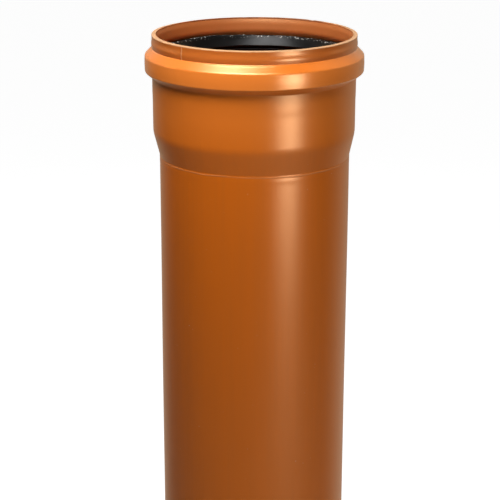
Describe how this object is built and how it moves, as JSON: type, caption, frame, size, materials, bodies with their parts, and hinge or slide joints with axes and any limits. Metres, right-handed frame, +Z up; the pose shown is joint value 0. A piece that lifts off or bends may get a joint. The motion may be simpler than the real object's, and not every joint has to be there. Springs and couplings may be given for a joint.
{
  "type": "plastic sewer pipe",
  "caption": "Orange-brown plastic drain pipe with a bevelled spigot end and a beaded socket that holds a black rubber lip seal.",
  "frame": {"origin": "middle of the spigot end, where the pipe stands on the floor", "axes": "+Z up the pipe's axis, from the spigot end to the socket's mouth; the pipe is the same all round"},
  "size_m": [0.1254, 0.1254, 0.5555],
  "materials": {
    "pvc_orange_brown": "satin",
    "black_rubber": "satin"
  },
  "bodies": {
    "root": {"pipe": "pvc_orange_brown", "sealing_ring": "black_rubber"}
  },
  "joints": []
}
